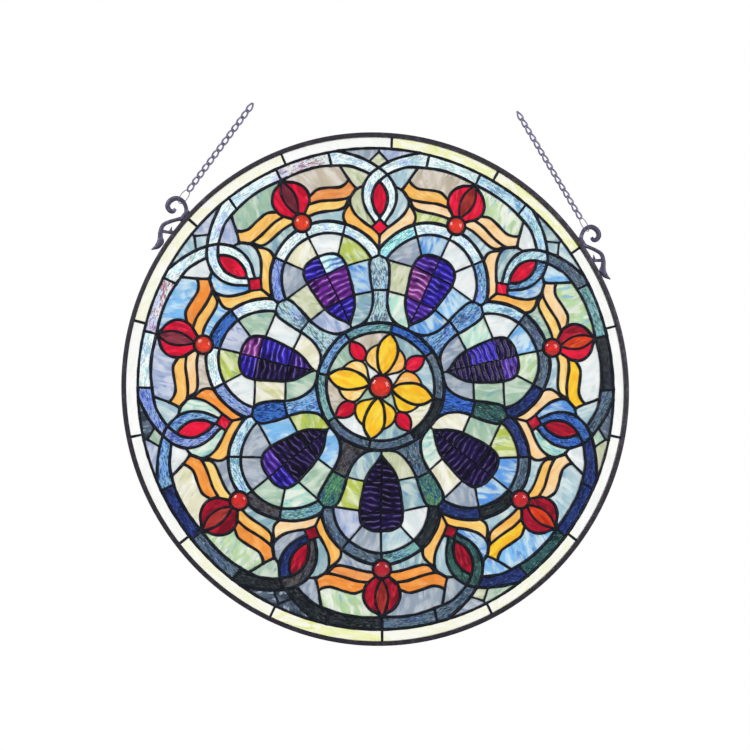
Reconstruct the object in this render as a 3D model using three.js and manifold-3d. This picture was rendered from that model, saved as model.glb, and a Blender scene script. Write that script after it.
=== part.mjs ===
// Round leaded stained glass panel with a seven-fold rosette, hung by two chains on scroll hooks.
// The panel stands in the XZ plane with its front towards -Y. The origin is level with the tops of
// the two chains, above the middle of the panel.
import * as THREE from 'three';
import { mergeVertices } from 'three/addons/utils/BufferGeometryUtils.js';
import Module from 'manifold-3d';

// Sizes in millimetres, angles in degrees
const SECTORS = 7;
const SECTOR = 360 / SECTORS;
const FIRST_FLOWER = -90;
const GAP = 0.3;

const RIM_RADIUS = 305;
const RIM_WIDTH = 5.5;
const RIM_HALF_DEPTH = 4;
const RIM_SLOT_DEPTH = 3;
const RIM_SLOT_HALF = 1.9;
const RIM_STEPS = 44;
const BORDER_STEPS = 6;

const GLASS_HALF = 1.5;
const LEAD_WIDTH = 4;
const LEAD_HALF_DEPTH = 3.2;
const BEAD_WIDTH = 3;

const BORDER_RADIUS = 286;
const MEDALLION_DISTANCE = 138.3;
const RIBBON_OUTER = 72;
const RIBBON_INNER = 57.8;
const CENTRE_RING_OUTER = 76;
const CENTRE_RING_INNER = 64.5;
const CENTRE_STEPS = 16;

const JEWEL_DISTANCE = 215.4;
const JEWEL_RADIUS = 9.7;
const CENTRE_JEWEL_RADIUS = 12.4;
const JEWEL_RING_WIDTH = 2.2;
const JEWEL_HEIGHT = 5.6;
const JEWEL_SIDES = 8;
const JEWEL_SHOULDER = [0.82, 3.9];
const JEWEL_CROWN = [0.45, 5.2];

// How far a cutting body stands past what it cuts
const CUT = 2;

const HOOK_HALF_DEPTH = 1.75;
// Scroll hook on the right, in [outwards, along the rim] from its root, before it is placed
const HOOK_CURL = [[0, 0.5], [6, 6.2], [14, 9.6], [22, 7.2],
  [25.3, 0], [23.5, -6.5], [18, -8.6], [12.5, -5]];
const HOOK_CURL_WIDTH = [5, 3.2, 3.6, 4.4, 4.8, 4.8, 4.2, 0.8];
const HOOK_LEAF = [[0, -3], [4, -10], [9.5, -19], [12.4, -27],
  [9.5, -35], [4, -42], [0.5, -49], [3.5, -58]];
const HOOK_LEAF_WIDTH = [5, 3, 3, 3.2, 3.6, 4.6, 6, 0.6];
const HOOK_BAR = [[8.5, -36], [-4, -30]];
const HOOK_BAR_WIDTH = 2.2;
const HOOK_FOOT = [[3, -44], [-6, -48]];
const HOOK_FOOT_WIDTH = 7;
const HOOK_ROOT = [[1.4, 5], [1.4, -9]];
const HOOK_ROOT_WIDTH = 4.4;
const HOOK_HOLD = [16.1, 9.4];

// The two shoulders: the hook's root above level, and the chain's links and lean from upright.
// The hooks sit a little clockwise of even, so the right chain is longer to end level with the left.
const SIDES = {
  right: { mirror: 1, rootAngle: 35.6, links: 15, lean: 31 },
  left: { mirror: -1, rootAngle: 41.1, links: 13, lean: 35.65 },
};
const LINK_PITCH = 10;
const LINK_WIRE = 0.8;
const LINK_HALF_WIDTH = 3.1;
const LINK_TWIST = 45;
const LINK_STEPS = 6;
const LINK_SIDES = 3;
const WIRE_LINK_WIRE = 0.5;
const WIRE_LINK_STEPS = 10;
const WIRE_LINK_HALF_WIDTH = 4.4;
const WIRE_LINK_HALF_LENGTH = 9.5;
const WIRE_LINK_TURN = 47;
const WIRE_LINK_REACH = 4.1;
const LINK_TURN = 20;
const LINK_TOUCH = 0.1;
// A faceted wire's inner flat lies nearer its middle than its corners do
const innerFlat = (wire, steps) => wire * Math.cos(Math.PI / LINK_SIDES) * Math.cos(Math.PI / steps);
const LINK_HALF_LENGTH = LINK_PITCH / 2 + innerFlat(LINK_WIRE, LINK_STEPS) - LINK_TOUCH / 2;

// Panel lines. Flower lines are [across, outwards] from the panel centre with the flower axis up;
// bud lines are the same with the axis halfway between two flowers up. Each gives the right half.
const ARCH_OUTER = [[0, 263.5], [12, 270.3], [33, 278]];
const ARCH_LEAVES_BORDER = SECTOR / 4;
const ARCH_CROSSING = [10.5, 255];
const EYE_SHOULDER = [18, 243];
const BUD_SIDE = [[31, 234], [37, 218], [43.5, 205]];
const BUD_FOOT_TURN = 45.6;
const RIBBON_MEET_TURN = 82.2;
const TEARDROP = [[15, 172.5], [27, 159], [25.5, 136], [16.5, 101]];
const TEARDROP_TOP = [0, 175.5];
const TEARDROP_TIP = [0, 79.5];
const RIBBON_INNER_END_TURN = 86.5;
const SPOKE_SIDE = [[41, 103], [22, 79]];
const ARCH_INNER = [[0, 271.5], [42, 268.5], [75, 255.5], [100, 234.5]];
const PETAL = [[0, 12.5], [12, 38], [0, 64.5]];
const PETALS = 4;
const PETAL_TURN = -11.4;

const wasm = await Module();
wasm.setup();

const radians = THREE.MathUtils.degToRad;

function turn(points, degrees) {
  const c = Math.cos(radians(degrees));
  const s = Math.sin(radians(degrees));
  return points.map(([x, y]) => [x * c - y * s, x * s + y * c]);
}

const flip = (points) => points.map(([x, y]) => [-x, y]);

// A right half from top to bottom, with its mirror image, as one closed outline
function symmetric(half) {
  const besideAxis = half.filter(([x]) => Math.abs(x) > 1e-6);
  return [...half, ...flip(besideAxis).reverse()].reverse();
}

// Points on a circle round a centre on the axis, turned clockwise from the axis
function arc(centre, radius, from, to, steps) {
  return Array.from({ length: steps + 1 }, (_, i) => {
    const a = radians(from + ((to - from) * i) / steps);
    return [radius * Math.sin(a), centre + radius * Math.cos(a)];
  });
}

const toBud = (points) => turn(points, SECTOR / 2);
const toFlower = (points) => turn(points, -SECTOR / 2);

function lineMeet(p, d, q, e) {
  const cross = d[0] * e[1] - d[1] * e[0];
  if (Math.abs(cross) < 1e-9) return q;
  const t = ((q[0] - p[0]) * e[1] - (q[1] - p[1]) * e[0]) / cross;
  return [p[0] + d[0] * t, p[1] + d[1] * t];
}

// Counter-clockwise outline moved inwards by a distance, or outwards by a negative one
function inset(outline, distance) {
  const n = outline.length;
  const edge = (i) => {
    const [a, b] = [outline[i % n], outline[(i + 1) % n]];
    const d = [b[0] - a[0], b[1] - a[1]];
    const length = Math.hypot(...d);
    const side = [(-d[1] / length) * distance, (d[0] / length) * distance];
    return { start: [a[0] + side[0], a[1] + side[1]], along: d };
  };
  return outline.map((_, i) => {
    const [before, after] = [edge(i + n - 1), edge(i)];
    return lineMeet(before.start, before.along, after.start, after.along);
  });
}

function strip(points, width) {
  const side = (sign) => points.map((p, i) => {
    const a = points[Math.max(i - 1, 0)];
    const b = points[Math.min(i + 1, points.length - 1)];
    const d = [b[0] - a[0], b[1] - a[1]];
    const length = Math.hypot(...d);
    const w = Array.isArray(width) ? width[i] : width;
    return [p[0] - (sign * d[1] * w) / 2 / length, p[1] + (sign * d[0] * w) / 2 / length];
  });
  return [...side(-1), ...side(1).reverse()];
}

function toSolid(geometry) {
  geometry.deleteAttribute('normal');
  geometry.deleteAttribute('uv');
  const welded = mergeVertices(geometry, 1e-4);
  return new wasm.Manifold(new wasm.Mesh({
    numProp: 3,
    vertProperties: new Float32Array(welded.attributes.position.array),
    triVerts: new Uint32Array(welded.index.array),
  }));
}

function toGeometry(solid) {
  const mesh = solid.getMesh();
  const geometry = new THREE.BufferGeometry();
  geometry.setAttribute('position', new THREE.BufferAttribute(mesh.vertProperties, 3));
  geometry.setIndex(new THREE.BufferAttribute(mesh.triVerts, 1));
  const flat = geometry.toNonIndexed();
  flat.computeVertexNormals();
  return flat;
}

// Flat plate on an outline, between two heights above the middle of the glass
function plate(outline, low, high) {
  const shape = new THREE.Shape(outline.map(([x, y]) => new THREE.Vector2(x, y)));
  const geometry = new THREE.ExtrudeGeometry(shape, { depth: high - low, bevelEnabled: false });
  return toSolid(geometry.translate(0, 0, low));
}

const join = (solids) => wasm.Manifold.union(solids);
const ring = (radius, steps) => arc(0, radius, 0, 360, steps).slice(0, -1).reverse();

// Outlines of one sector on the centre lines of the lead
const ribbonTop = arc(MEDALLION_DISTANCE, RIBBON_OUTER, BUD_FOOT_TURN, 0, 3);
const ribbonSide = flip(toBud(arc(MEDALLION_DISTANCE, RIBBON_OUTER, BUD_FOOT_TURN, RIBBON_MEET_TURN, 2)));
const ribbonMeet = [0, ribbonSide.at(-1)[1]];
const borderTop = arc(0, BORDER_RADIUS, ARCH_LEAVES_BORDER / 3, ARCH_LEAVES_BORDER, 1);
const budEdge = [ARCH_OUTER[0], ARCH_CROSSING, EYE_SHOULDER, ...BUD_SIDE];
const archEdge = ARCH_OUTER.slice(1).reverse();

const fieldOutline = symmetric([...borderTop, ...toFlower(flip([...archEdge, ...budEdge])), ...ribbonTop]);
const budOutline = symmetric([...budEdge, ...ribbonSide.slice(0, -1), ribbonMeet]);
const spandrelOutline = symmetric([
  ...arc(0, BORDER_RADIUS, 0, SECTOR / 8, 1),
  ...archEdge,
  ARCH_OUTER[0],
]);
const teardropOutline = symmetric([TEARDROP_TOP, ...TEARDROP, TEARDROP_TIP]);

const flowerTurn = (k) => FIRST_FLOWER - 90 + k * SECTOR;
const budTurn = (k) => flowerTurn(k) + SECTOR / 2;
const sectors = Array.from({ length: SECTORS }, (_, k) => k);

const ribbonOutline = sectors.flatMap((k) => turn(
  arc(MEDALLION_DISTANCE, RIBBON_OUTER, RIBBON_MEET_TURN, -RIBBON_MEET_TURN, 11).slice(0, -1),
  flowerTurn(k),
));

const borderOutline = (outer) => [
  ...arc(0, BORDER_RADIUS, -SECTOR / 2, SECTOR / 2, BORDER_STEPS),
  ...arc(0, outer, SECTOR / 2, -SECTOR / 2, BORDER_STEPS),
];

// Largest radius that stays a gap inside a faceted round of the rim
const insideRim = (radius) => radius * Math.cos(Math.PI / RIM_STEPS) - GAP;

const jewelSpot = (k) => turn([[0, JEWEL_DISTANCE]], flowerTurn(k))[0];

function disc([x, y], radius, low, high) {
  const geometry = new THREE.CylinderGeometry(radius, radius, high - low, JEWEL_SIDES);
  return toSolid(geometry.rotateX(Math.PI / 2).translate(x, y, (high + low) / 2));
}

// Every glass zone, kept a distance from the lead's centre lines and between two heights
function glassZones(clear, borderOuter, low, high) {
  const jewelClear = clear - LEAD_WIDTH / 2 + JEWEL_RING_WIDTH;
  const jewelHole = (k) => disc(jewelSpot(k), JEWEL_RADIUS + jewelClear, low - CUT, high + CUT);
  const tall = (outline) => plate(outline, low - CUT, high + CUT);
  const at = (outline, angle) => plate(inset(turn(outline, angle), clear), low, high);
  const hollow = (outline, angle) => tall(inset(turn(outline, angle), -clear));
  const zones = {};
  for (const k of sectors) {
    const n = k + 1;
    zones[`border_glass_${n}`] = at(borderOutline(borderOuter + clear), flowerTurn(k));
    zones[`arch_field_glass_${n}`] = at(fieldOutline, flowerTurn(k)).subtract(jewelHole(k));
    zones[`spandrel_glass_${n}`] = at(spandrelOutline, budTurn(k));
    zones[`bud_glass_${n}`] = at(budOutline, budTurn(k));
    zones[`teardrop_glass_${n}`] = at(teardropOutline, flowerTurn(k));
  }
  const medallionCuts = sectors.flatMap((k) => [hollow(teardropOutline, flowerTurn(k)), jewelHole(k)]);
  zones.medallion_glass = plate(inset(ribbonOutline, clear), low, high)
    .subtract(join([...medallionCuts, tall(ring(CENTRE_RING_OUTER + clear, CENTRE_STEPS))]));
  zones.centre_glass = plate(ring(CENTRE_RING_OUTER - clear, CENTRE_STEPS), low, high)
    .subtract(disc([0, 0], CENTRE_JEWEL_RADIUS + jewelClear, low - CUT, high + CUT));
  return zones;
}

function leadLines() {
  const [low, high] = [-LEAD_HALF_DEPTH, LEAD_HALF_DEPTH];
  const reach = insideRim(RIM_RADIUS - RIM_WIDTH);
  const openings = glassZones(LEAD_WIDTH / 2, RIM_RADIUS + RIM_WIDTH, low - CUT, high + CUT);
  const holes = join(Object.values(openings));
  const seats = sectors.map((k) => disc(jewelSpot(k), JEWEL_RADIUS + GAP, low - CUT, high + CUT));
  seats.push(disc([0, 0], CENTRE_JEWEL_RADIUS + GAP, low - CUT, high + CUT));
  const sheet = plate(ring(reach, BORDER_STEPS * SECTORS), low, high);
  const bead = (points) => plate(strip(points, BEAD_WIDTH), GLASS_HALF + GAP, high);
  const ribbonInner = arc(MEDALLION_DISTANCE, RIBBON_INNER, 0, RIBBON_INNER_END_TURN, 4);
  const medallionLine = [...ribbonInner, ...SPOKE_SIDE];
  const axisLines = [[TEARDROP_TOP, [0, JEWEL_DISTANCE - JEWEL_RADIUS]], [[0, BORDER_RADIUS], [0, reach]]];
  const beads = sectors.flatMap((k) => {
    const halves = [ARCH_INNER, medallionLine].flatMap((line) => [line, flip(line)]);
    return [...halves, ...axisLines].map((line) => bead(turn(line, flowerTurn(k))));
  });
  const petalLine = [...PETAL, [0, CENTRE_RING_OUTER]];
  const petals = Array.from({ length: PETALS }, (_, i) => PETAL_TURN + (i * 360) / PETALS)
    .flatMap((angle) => [petalLine, flip(PETAL)].map((line) => bead(turn(line, angle))));
  const centreRing = plate(ring(CENTRE_RING_INNER + BEAD_WIDTH / 2, CENTRE_STEPS), GLASS_HALF + GAP, high)
    .subtract(plate(ring(CENTRE_RING_INNER - BEAD_WIDTH / 2, CENTRE_STEPS), low, high + CUT));
  return join([sheet.subtract(holes), centreRing, ...beads, ...petals]).subtract(join(seats));
}

function rim() {
  const [outer, inner] = [RIM_RADIUS, RIM_RADIUS - RIM_WIDTH];
  const slot = inner + RIM_SLOT_DEPTH;
  const profile = [[inner, -RIM_HALF_DEPTH], [outer, -RIM_HALF_DEPTH], [outer, RIM_HALF_DEPTH],
    [inner, RIM_HALF_DEPTH], [inner, RIM_SLOT_HALF], [slot, RIM_SLOT_HALF], [slot, -RIM_SLOT_HALF],
    [inner, -RIM_SLOT_HALF], [inner, -RIM_HALF_DEPTH]];
  const points = profile.map(([r, z]) => new THREE.Vector2(r, z));
  return toSolid(new THREE.LatheGeometry(points, RIM_STEPS).rotateX(Math.PI / 2));
}

function jewel([x, y], radius) {
  const dome = [JEWEL_SHOULDER, JEWEL_CROWN].map(([share, height]) => [radius * share, height]);
  const girdle = [[radius, -GLASS_HALF], [radius, GLASS_HALF]];
  const profile = [[0, -GLASS_HALF], ...girdle, ...dome, [0, JEWEL_HEIGHT]];
  const points = profile.map(([r, z]) => new THREE.Vector2(r, z));
  const geometry = new THREE.LatheGeometry(points, JEWEL_SIDES).rotateX(Math.PI / 2);
  return toSolid(geometry.translate(x, y, 0));
}

function onHook(points, side) {
  const placed = turn(points.map(([out, along]) => [RIM_RADIUS + out, along]), side.rootAngle);
  return placed.map(([x, y]) => [x * side.mirror, y]);
}

function hook(side) {
  const bars = [[HOOK_CURL, HOOK_CURL_WIDTH], [HOOK_LEAF, HOOK_LEAF_WIDTH], [HOOK_BAR, HOOK_BAR_WIDTH],
    [HOOK_FOOT, HOOK_FOOT_WIDTH], [HOOK_ROOT, HOOK_ROOT_WIDTH]];
  const solids = bars.map(([line, width]) => plate(strip(onHook(line, side), width),
    -HOOK_HALF_DEPTH, HOOK_HALF_DEPTH));
  const panelDisc = plate(ring(RIM_RADIUS + GAP, RIM_STEPS), -RIM_HALF_DEPTH, RIM_HALF_DEPTH);
  return join(solids).subtract(panelDisc);
}

// Ring of wire with flat ends, stretched along X to a long link, with a twist from end to end
function wireLoop(halfLength, halfWidth, wire, twist, steps) {
  const geometry = new THREE.TorusGeometry(halfWidth, wire, LINK_SIDES, steps).rotateZ(Math.PI / steps);
  const position = geometry.attributes.position;
  const flatEnd = halfWidth * Math.cos(Math.PI / steps);
  for (let i = 0; i < position.count; i += 1) {
    const x = Math.abs(position.getX(i)) < 1e-6 ? 0 : position.getX(i);
    const [y, z] = [position.getY(i), position.getZ(i)];
    const along = x + Math.sign(x) * (halfLength - flatEnd);
    const angle = radians(twist) * Math.sign(x);
    const [c, s] = [Math.cos(angle), Math.sin(angle)];
    position.setXYZ(i, along, y * c - z * s, y * s + z * c);
  }
  return geometry;
}

function chain(side) {
  const [hold] = onHook([HOOK_HOLD], side);
  const place = (geometry, along) => toSolid(geometry.translate(along, 0, 0)
    .rotateZ(radians(90 + side.mirror * side.lean)).translate(hold[0], hold[1], 0));
  const wire = wireLoop(WIRE_LINK_HALF_LENGTH, WIRE_LINK_HALF_WIDTH, WIRE_LINK_WIRE, 0, WIRE_LINK_STEPS);
  const wireEnd = 2 * WIRE_LINK_HALF_LENGTH - WIRE_LINK_REACH;
  const meet = innerFlat(WIRE_LINK_WIRE, WIRE_LINK_STEPS) + innerFlat(LINK_WIRE, LINK_STEPS) - LINK_TOUCH;
  const firstLink = wireEnd - meet + LINK_HALF_LENGTH;
  const curbLink = () => wireLoop(LINK_HALF_LENGTH, LINK_HALF_WIDTH, LINK_WIRE, LINK_TWIST, LINK_STEPS)
    .rotateX(radians(LINK_TURN));
  const links = Array.from({ length: side.links }, (_, i) => place(curbLink(), firstLink + i * LINK_PITCH));
  const wireLink = place(wire.rotateX(radians(WIRE_LINK_TURN)), WIRE_LINK_HALF_LENGTH - WIRE_LINK_REACH);
  return join([wireLink, ...links]);
}

const GLASS = { roughness: 0.15, metalness: 0, transparent: true, opacity: 0.8 };
const FINISHES = {
  lead: { color: '#1b1c24', roughness: 0.45, metalness: 0.8 },
  rim: { color: '#25242a', roughness: 0.4, metalness: 0.8 },
  hook: { color: '#2a2838', roughness: 0.4, metalness: 0.8 },
  chain: { color: '#8d8a98', roughness: 0.3, metalness: 0.9 },
  border_glass: { color: '#f3f6cf', ...GLASS },
  arch_field_glass: { color: '#c9d8cf', ...GLASS },
  spandrel_glass: { color: '#d7dccb', ...GLASS },
  bud_glass: { color: '#b8472c', ...GLASS },
  medallion_glass: { color: '#cfd6dd', ...GLASS },
  teardrop_glass: { color: '#4a2f9b', ...GLASS },
  centre_glass: { color: '#e8a431', ...GLASS },
  jewel: { color: '#d8591e', ...GLASS },
};
const materials = Object.fromEntries(Object.entries(FINISHES).map(([name, values]) => [
  name, Object.assign(new THREE.MeshStandardMaterial(values), { name }),
]));

const panel = new THREE.Group();
panel.name = 'stained_glass_panel';

const chains = Object.fromEntries(Object.entries(SIDES).map(([name, side]) => [name, chain(side)]));
const chainTops = Object.values(chains).map((solid) => solid.boundingBox().max[1]);
const PANEL_DROP = Math.max(...chainTops);

function add(name, solid, finish) {
  const geometry = toGeometry(solid).rotateX(Math.PI / 2).translate(0, 0, -PANEL_DROP);
  const mesh = new THREE.Mesh(geometry, materials[finish]);
  mesh.name = name;
  panel.add(mesh);
}

add('rim', rim(), 'rim');
add('lead_lines', leadLines(), 'lead');
const slotFloor = insideRim(RIM_RADIUS - RIM_WIDTH + RIM_SLOT_DEPTH);
const glass = glassZones(LEAD_WIDTH / 2 + GAP, slotFloor, -GLASS_HALF, GLASS_HALF);
for (const [name, solid] of Object.entries(glass)) {
  add(name, solid, name.replace(/_\d+$/, ''));
}
for (const k of sectors) {
  add(`jewel_${k + 1}`, jewel(jewelSpot(k), JEWEL_RADIUS), 'jewel');
}
add('centre_jewel', jewel([0, 0], CENTRE_JEWEL_RADIUS), 'jewel');

for (const [name, side] of Object.entries(SIDES)) {
  add(`hook_${name}`, hook(side), 'hook');
  add(`chain_${name}`, chains[name], 'chain');
}

export default panel;
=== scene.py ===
import math
import random
from collections import namedtuple
import bpy
from mathutils import Matrix, Vector, geometry, noise


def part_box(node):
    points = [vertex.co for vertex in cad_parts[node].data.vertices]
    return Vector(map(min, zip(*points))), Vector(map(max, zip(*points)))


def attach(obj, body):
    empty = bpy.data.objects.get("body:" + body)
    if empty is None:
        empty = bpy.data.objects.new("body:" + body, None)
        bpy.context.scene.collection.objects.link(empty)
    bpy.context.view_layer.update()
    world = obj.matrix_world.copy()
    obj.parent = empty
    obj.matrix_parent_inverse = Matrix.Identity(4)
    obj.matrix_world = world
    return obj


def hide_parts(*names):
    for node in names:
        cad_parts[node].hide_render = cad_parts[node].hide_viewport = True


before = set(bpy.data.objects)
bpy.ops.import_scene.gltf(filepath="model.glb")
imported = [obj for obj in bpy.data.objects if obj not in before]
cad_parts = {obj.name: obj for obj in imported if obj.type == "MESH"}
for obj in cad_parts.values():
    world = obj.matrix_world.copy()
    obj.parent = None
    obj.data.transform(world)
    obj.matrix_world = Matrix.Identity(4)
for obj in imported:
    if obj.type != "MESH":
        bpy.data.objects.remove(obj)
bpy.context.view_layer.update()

# Sizes of the panel, in millimetres
MM = 0.001
SECTORS = 7
SECTOR = 360 / SECTORS
FIRST_FLOWER = -90
rim_low, rim_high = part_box("rim")
PANEL_DROP = -(rim_low[2] + rim_high[2]) / 2 / MM

RIM_RADIUS = 305
RIM_INNER = 299.5
RIM_HALF_DEPTH = 4
RIM_SLOT_HALF = 1.9
RIM_SLOT_RADIUS = 302.5
GLASS_HALF = 1.5
GLASS_EDGE = 301.8
BORDER_RADIUS = 286
MEDALLION_CENTRE = (0, 138.3)
RIBBON_OUTER = 72
RIBBON_INNER = 57.8
RIBBON_OUTER_END = 82.2
RIBBON_INNER_END = 86.5
CENTRE_RING_OUTER = 76
CENTRE_RING_INNER = 64.5
CENTRE_TURN = 78.6
PETALS = 4
CENTRE_PANES = 8
JEWEL_CENTRE = (0, 215.4)
JEWEL_RADIUS = 9.7
JEWEL_SEAT = 10.8
CENTRE_JEWEL_RADIUS = 12.4
CENTRE_JEWEL_SEAT = 13.5
JEWEL_HEIGHT = 5.6

# Spacing of points along the lead lines, and how far each line runs past the line it ends on
STEP = 2.6
JEWEL_STEP = 1.6
OVERRUN = 1.5
CROSSING_REACH = 0.03
SMALLEST_PANE = 14

# Half widths of the lead lines
BORDER_LEAD = 1.9
RING_LEAD = 2.25
MAIN_LEAD = 2.0
FINE_LEAD = 1.65
RIB_LEAD = 1.1
JEWEL_LEAD = 2.0

# Border joints: the first is turned back from its bud axis, and each next one drifts forwards
FIRST_BORDER_JOINT = 5
BORDER_JOINT_TURN = -3.9
BORDER_JOINT_DRIFT = 0.43

Line = namedtuple("Line", "points half closed", defaults=[False])


# Plane geometry of the pattern, in panel millimetres: across to the right, up, seen from the front
def turned(points, degrees):
    c, s = math.cos(math.radians(degrees)), math.sin(math.radians(degrees))
    return [(p[0] * c - p[1] * s, p[0] * s + p[1] * c, *p[2:]) for p in points]


def mirrored(points):
    return [(-p[0], *p[1:]) for p in points]


def beyond(first, second):
    return tuple(2 * a - b for a, b in zip(first, second))


def smooth(points, step=STEP):
    ends = [beyond(points[0], points[1]), *points, beyond(points[-1], points[-2])]
    curve = []
    for a, b, c, d in zip(ends, ends[1:], ends[2:], ends[3:]):
        count = max(1, round(math.dist(b[:2], c[:2]) / step))
        for i in range(count):
            t = i / count
            curve.append(tuple(
                q + t / 2 * (r - p + t * (2 * p - 5 * q + 4 * r - s + t * (3 * (q - r) + s - p)))
                for p, q, r, s in zip(a, b, c, d)
            ))
    return [*curve, tuple(points[-1])]


def straight(first, last, step=STEP):
    count = max(1, round(math.dist(first, last) / step))
    return [tuple(a + (b - a) * i / count for a, b in zip(first, last)) for i in range(count + 1)]


def arc(centre, radius, start, end, step=STEP):
    count = max(6, round(abs(math.radians(end - start)) * radius / step))
    angles = [math.radians(start + (end - start) * i / count) for i in range(count + 1)]
    return [(centre[0] + radius * math.cos(a), centre[1] + radius * math.sin(a)) for a in angles]


def flower_turn(k):
    return FIRST_FLOWER - 90 + k * SECTOR


def bud_turn(k):
    return flower_turn(k) + SECTOR / 2


def to_flower(points):
    return turned(points, -SECTOR / 2)


def overrun(points):
    def past(end, before):
        away = (Vector(end[:2]) - Vector(before[:2])).normalized() * OVERRUN
        return (end[0] + away.x, end[1] + away.y)
    return [past(points[0], points[1]), *points, past(points[-1], points[-2])]


def both_sides(points):
    return [points, mirrored(points)]


def two_lines(points, half, turn=0):
    return [Line(turned(side, turn), half) for side in both_sides(points)]


def circle(centre, radius, half, step=STEP):
    return Line(arc(centre, radius, 0, 360, step)[:-1], half, True)


# Lead lines of one flower, axis up, right half where a line has two sides
FLOWER_TOP = (0, 271.5)
TULIP_HEART = [(0, 225.3), (5.2, 236), (7.6, 246), (7, 256), (3.4, 265), FLOWER_TOP]
TULIP_SIDE = [FLOWER_TOP, (6, 267), (13, 263), (19, 256.5), (22, 249), (21.8, 241.5), (18.5, 233.5),
              (12.5, 228), (8, 224)]
WING_TOP = [(21.8, 240), (33, 243.5), (45, 240.5), (55, 236.7), (62, 235), (70, 236.5), (75, 239.5)]
WING_MIDDLE = [(17, 231.5), (30, 229.5), (40, 226), (50, 222.5), (60, 220), (66, 219.3), (72, 221.5),
               (78, 226)]
WING_BOTTOM = [(10.5, 219), (20, 218.3), (30, 216), (40, 213), (50, 210.8), (57, 212), (62, 216.5),
               (65, 219.5)]
WING_PANE_END = [(46, 211), (45, 200)]
FIELD_END = [(71.5, 259.5), (73, 250), (74.5, 240), (76.5, 231), (79, 223)]
ARCH_JOINT = [(66, 278.5), (62.4, 261)]
RING_JOINT = [(37.5, 181), (47, 192)]
TEARDROP_TOP = 171.5
TEARDROP_TIP = 82
TEARDROP_HALF_WIDTH = 26
TEARDROP = [(0, TEARDROP_TOP), (10, 170.5), (19, 166.5), (24.4, 160), (TEARDROP_HALF_WIDTH, 150.5),
            (25.2, 139), (22.6, 125), (19.5, 112), (16, 103), (10.5, 94.5), (4, 87), (0, TEARDROP_TIP)]
TEARDROP_CROSS = [149, 112]
CROSS_REACH = 30
JEWEL_JOINT_END = 206
PALE_JOINTS = [[(22, 163.5), (38, 182)], [(25.8, 147), (58, 141)], [(19.4, 111.7), (41, 106.8)]]
SPOKE_SIDE = [(57.7, 141.8), (52.5, 137), (47.5, 126), (43.5, 115), (41, 106), (38.5, 100), (35, 93),
              (30, 86.5), (24, 80.8), (17, 77.2), (8, 75.9)]

# Lead lines of one bud, halfway between two flowers, axis up
ARCH_INNER_FROM_FLOWER = [FLOWER_TOP, (20, 271.2), (40, 268.8), (58, 263.9)]
ARCH_INNER = [(-38, 264), (-25, 261), (-10.5, 255), (0, 246.8), (6, 239), (9.3, 229), (8.8, 220),
              (5.5, 210), (0, 203)]
ARCH_OUTER = [(-53, 282.4), (-38, 279), (-25, 275.5), (-12, 270.3), (0, 263.5), (10.5, 255), (18, 243),
              (20.4, 232), (19.6, 221), (15.5, 210), (10, 202), (5.4, 195.4)]
CROSSING_LEFT_OPEN = ((-5.25, 250.9), 6.2)
KITE_SIDE = [(0, 282), (11.5, 270.5)]
BUD_SHOULDER = [(18, 243), (20, 240), (27, 236.5), (32, 231), (35, 224), (34.5, 217), (30, 208),
                (24, 201.5), (16, 195), (10, 191)]
SQUARE_TOP, SQUARE_SIDE, SQUARE_FOOT = (0, 200.5), (10, 191), (0, 181.5)
SEPAL_SIDE = [(34.6, 220), (40, 212.5), (43, 205), (42, 198), (36, 189)]
ROOF_TOP = (0, 157)
SPOKE_JOINT = [(-11, 115.5), (11, 115.5)]

# Lead lines of the middle rosette: one petal with its two side petals, and one leaf, axis up
PETAL = [(0, 13), (6.5, 21), (10.6, 32), (12.2, 42), (11, 50.5), (6.5, 58), (0, 64.5)]
SIDE_PETAL = [(3, 13.5), (10, 17.5), (18, 21), (23.4, 26), (24.5, 32.5), (22, 40), (16.5, 46), (10.8, 49.4)]
LEAF = [(0, 36), (6.5, 41), (9, 48), (7, 56), (0, 64.5)]


def flower_lines():
    ring_from_top = 90 - RIBBON_OUTER_END
    inner_from_top = 90 - RIBBON_INNER_END
    lines = [
        Line(arc(MEDALLION_CENTRE, RIBBON_OUTER, ring_from_top, 180 - ring_from_top), RING_LEAD),
        Line(arc(MEDALLION_CENTRE, RIBBON_INNER, inner_from_top, 180 - inner_from_top), MAIN_LEAD),
        Line(straight(FLOWER_TOP, (0, BORDER_RADIUS)), FINE_LEAD),
        Line(straight((0, TEARDROP_TOP), (0, JEWEL_JOINT_END)), FINE_LEAD),
        Line(straight((0, TEARDROP_TIP), (0, CENTRE_RING_OUTER)), FINE_LEAD),
        Line(straight((0, TEARDROP_TIP), (0, TEARDROP_TOP)), RIB_LEAD),
        circle(JEWEL_CENTRE, JEWEL_SEAT, JEWEL_LEAD, JEWEL_STEP),
    ]
    main_curves = [TULIP_SIDE, WING_TOP, WING_MIDDLE, WING_BOTTOM, FIELD_END, TEARDROP, SPOKE_SIDE]
    fine_curves = [TULIP_HEART, WING_PANE_END, ARCH_JOINT, RING_JOINT, *PALE_JOINTS]
    curves = [(curve, MAIN_LEAD) for curve in main_curves] + [(curve, FINE_LEAD) for curve in fine_curves]
    curves.append(([SPOKE_SIDE[0], *to_flower([ROOF_TOP])], FINE_LEAD))
    for points, half in curves:
        lines += two_lines(smooth(points), half)
    for height in TEARDROP_CROSS:
        lines.append(Line(straight((-CROSS_REACH, height), (CROSS_REACH, height)), RIB_LEAD))
    return lines


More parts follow.
